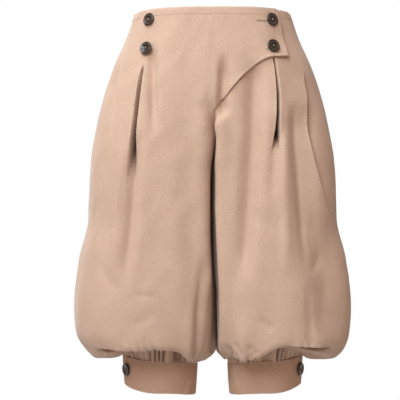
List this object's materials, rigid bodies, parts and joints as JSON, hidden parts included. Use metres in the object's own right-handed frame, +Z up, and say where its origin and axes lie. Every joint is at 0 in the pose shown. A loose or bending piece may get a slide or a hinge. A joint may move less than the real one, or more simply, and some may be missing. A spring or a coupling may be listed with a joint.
{
  "type": "renaissance trousers",
  "caption": "Knee-length full trousers with a fall flap, front pleats and legs gathered into buttoned knee bands, in worn shape.",
  "frame": {"origin": "middle of the waist opening, level with its top edge, where the wearer holds the trousers up", "axes": "+Z up, the front faces -Y, +X towards the wearer's left"},
  "size_m": [0.4738, 0.2697, 0.6497],
  "materials": {
    "cloth": "soft brushed cotton twill, matt",
    "band_cloth": "the same cotton twill, doubled",
    "button": "dark horn look, satin gloss"
  },
  "bodies": {
    "root": {"right_front": "cloth", "left_front": "cloth", "right_back": "cloth", "left_back": "cloth", "right_knee_band": "band_cloth", "left_knee_band": "band_cloth", "waist_button_right_upper": "button", "waist_button_right_lower": "button", "waist_button_left_upper": "button", "waist_button_left_lower": "button", "knee_button_right": "button", "knee_button_left": "button"}
  },
  "joints": []
}
